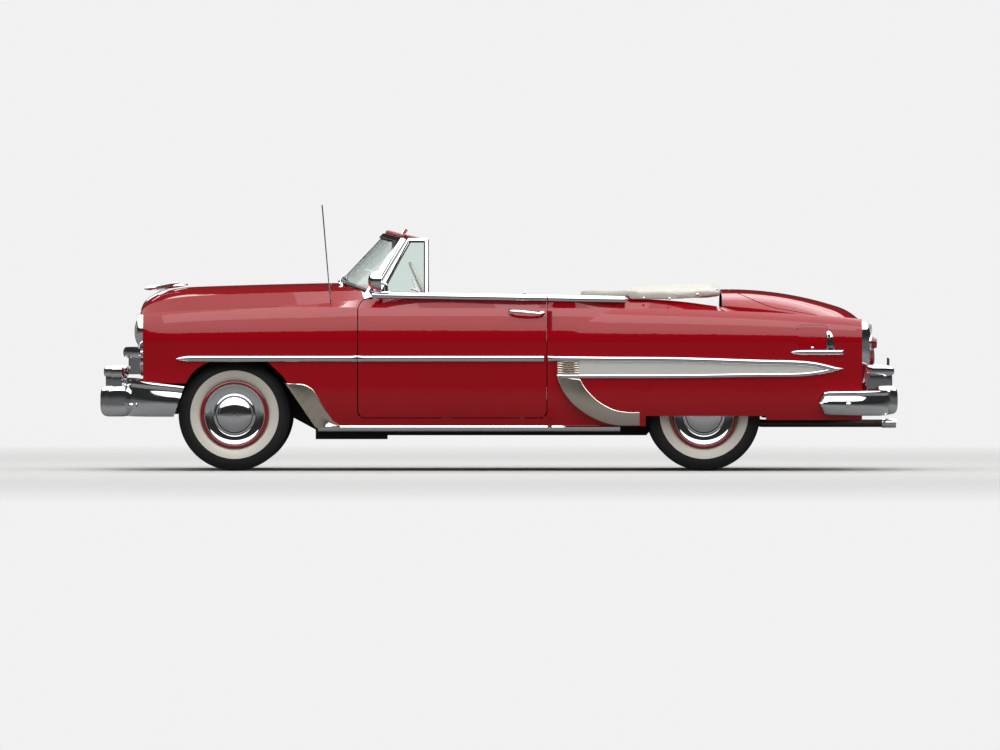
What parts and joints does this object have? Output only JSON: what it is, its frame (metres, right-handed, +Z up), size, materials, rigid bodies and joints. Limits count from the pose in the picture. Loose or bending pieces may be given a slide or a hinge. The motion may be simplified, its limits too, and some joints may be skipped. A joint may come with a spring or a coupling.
{
  "type": "1950s convertible car",
  "caption": "Two-door open car with a long hood, covered rear wheels, curved windshield, opening doors, hood and trunk, and steered whitewall wheels.",
  "frame": {"origin": "on the floor below the middle of the overall length and width", "axes": "+X to the car's rear, +Y to the car's right-hand side, +Z up"},
  "size_m": [4.99, 1.8766, 1.6552],
  "materials": {
    "body_paint": "gloss",
    "chrome": "polished",
    "glass": "clear",
    "red_lens": "gloss",
    "chassis_black": "satin",
    "exhaust_steel": "dull",
    "upholstery": "satin",
    "boot_vinyl": "satin",
    "cabin_trim": "gloss",
    "tyre_rubber": "matte"
  },
  "bodies": {
    "root": {"frame": "chassis_black", "engine": "chassis_black", "radiator": "chassis_black", "front_suspension": "chassis_black", "rear_axle": "chassis_black", "exhaust": "exhaust_steel", "fuel_tank": "chassis_black", "floor_pan": "chassis_black", "front_fender_left": "body_paint", "front_fender_right": "body_paint", "rear_quarter_left": "body_paint", "rear_quarter_right": "body_paint", "fender_skirts": "body_paint", "cowl": "body_paint", "dashboard": "body_paint", "steering_column": "cabin_trim", "windshield_frame": "chrome", "windshield_glass": "glass", "seat_bases": "chassis_black", "front_seat_cushion": "upholstery", "front_seat_back": "upholstery", "rear_seat_cushion": "upholstery", "rear_seat_back": "upholstery", "boot_cover": "boot_vinyl", "rear_deck": "body_paint", "front_panel": "body_paint", "headlamps": "chrome", "headlamp_lenses": "glass", "grille": "chrome", "front_bumper": "chrome", "rear_bumper": "chrome", "tail_lamps": "chrome", "tail_lenses": "red_lens", "antenna": "chrome", "inner_fenders": "chassis_black"},
    "door_left": {"door_left": "body_paint", "vent_frame_left": "chrome", "vent_glass_left": "glass", "door_mirror": "chrome"},
    "knuckle_left": {"knuckle_left": "chassis_black"},
    "wheel_front_left": {"wheel_front_left": "chrome", "tyre_front_left": "tyre_rubber"},
    "wheel_rear_left": {"wheel_rear_left": "chrome", "tyre_rear_left": "tyre_rubber"},
    "door_right": {"door_right": "body_paint", "vent_frame_right": "chrome", "vent_glass_right": "glass"},
    "knuckle_right": {"knuckle_right": "chassis_black"},
    "wheel_front_right": {"wheel_front_right": "chrome", "tyre_front_right": "tyre_rubber"},
    "wheel_rear_right": {"wheel_rear_right": "chrome", "tyre_rear_right": "tyre_rubber"},
    "hood": {"hood": "body_paint"},
    "trunk_lid": {"trunk_lid": "body_paint"},
    "steering_wheel": {"steering_wheel": "cabin_trim"}
  },
  "joints": [
    {"name": "door_left_hinge", "type": "hinge", "parent": "root", "child": "door_left", "pos_m": [-0.879, -0.888, 0.7], "axis": [0, 0, -1], "range_deg": [0, 65]},
    {"name": "steer_left", "type": "hinge", "parent": "root", "child": "knuckle_left", "pos_m": [-1.646, -0.62, 0.35], "axis": [0, 0, 1], "range_deg": [-30, 30]},
    {"name": "wheel_front_left_spin", "type": "hinge", "parent": "knuckle_left", "child": "wheel_front_left", "pos_m": [-1.646, -0.72, 0.35], "axis": [0, 1, 0], "continuous": true},
    {"name": "wheel_rear_left_spin", "type": "hinge", "parent": "root", "child": "wheel_rear_left", "pos_m": [1.275, -0.746, 0.35], "axis": [0, 1, 0], "continuous": true},
    {"name": "door_right_hinge", "type": "hinge", "parent": "root", "child": "door_right", "pos_m": [-0.879, 0.888, 0.7], "axis": [0, 0, 1], "range_deg": [0, 65]},
    {"name": "steer_right", "type": "hinge", "parent": "root", "child": "knuckle_right", "pos_m": [-1.646, 0.62, 0.35], "axis": [0, 0, 1], "range_deg": [-30, 30]},
    {"name": "wheel_front_right_spin", "type": "hinge", "parent": "knuckle_right", "child": "wheel_front_right", "pos_m": [-1.646, 0.72, 0.35], "axis": [0, 1, 0], "continuous": true},
    {"name": "wheel_rear_right_spin", "type": "hinge", "parent": "root", "child": "wheel_rear_right", "pos_m": [1.275, 0.746, 0.35], "axis": [0, 1, 0], "continuous": true},
    {"name": "hood_hinge", "type": "hinge", "parent": "root", "child": "hood", "pos_m": [-1.053, 0, 1.18], "axis": [0, 1, 0], "range_deg": [0, 50]},
    {"name": "trunk_hinge", "type": "hinge", "parent": "root", "child": "trunk_lid", "pos_m": [1.447, 0, 1.137], "axis": [0, -1, 0], "range_deg": [0, 65]},
    {"name": "steering_wheel_turn", "type": "hinge", "parent": "root", "child": "steering_wheel", "pos_m": [-0.465, -0.38, 1.096], "axis": [0.9063, 0, 0.4226], "range_deg": [-480, 480]}
  ],
  "couplings": [
    {"joint": "steer_right", "follows": "steer_left", "ratio": 1},
    {"joint": "steering_wheel_turn", "follows": "steer_left", "ratio": 16}
  ]
}
